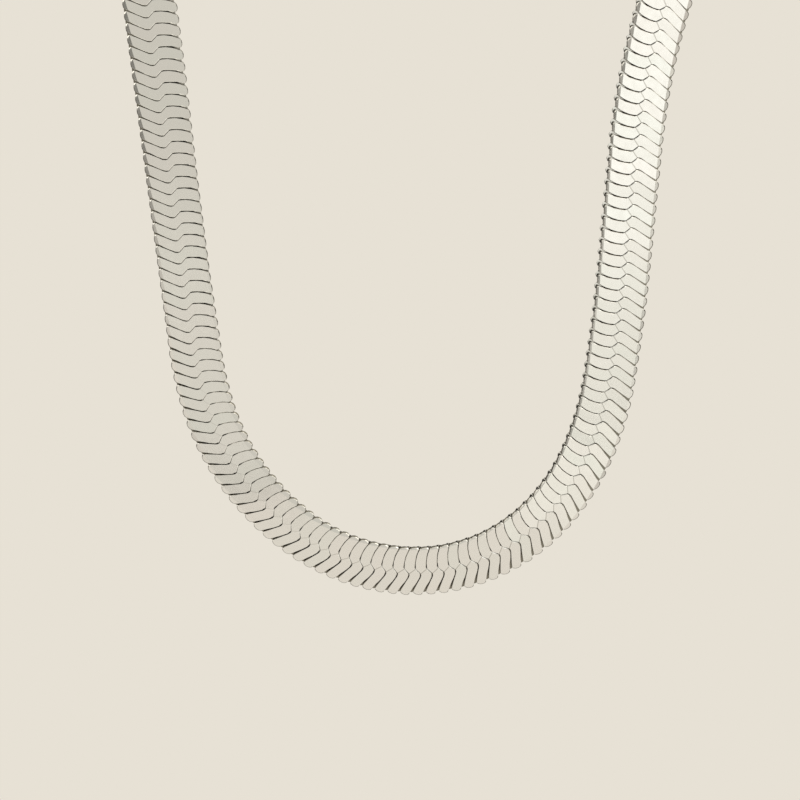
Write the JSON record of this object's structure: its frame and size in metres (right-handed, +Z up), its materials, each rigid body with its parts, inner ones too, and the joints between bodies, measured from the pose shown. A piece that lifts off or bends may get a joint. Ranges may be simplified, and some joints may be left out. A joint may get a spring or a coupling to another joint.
{
  "type": "flat snake chain necklace",
  "caption": "Closed necklace of flat, polished herringbone-like snake links, hanging as worn, with an end cap on each end and a plain clasp loop at the nape.",
  "frame": {"origin": "middle of the clasp, on the side that rests on the nape of the neck", "axes": "+Z up as worn, -Y is the way the wearer faces, +X is to the right in the front view"},
  "size_m": [0.1128, 0.0933, 0.1388],
  "materials": {
    "silver_links": "polished silver, lightly brushed",
    "silver_fittings": "polished silver"
  },
  "bodies": {
    "root": {"chain_left": "silver_links", "chain_right": "silver_links", "end_cap_left": "silver_fittings", "end_cap_right": "silver_fittings", "clasp": "silver_fittings"}
  },
  "joints": []
}
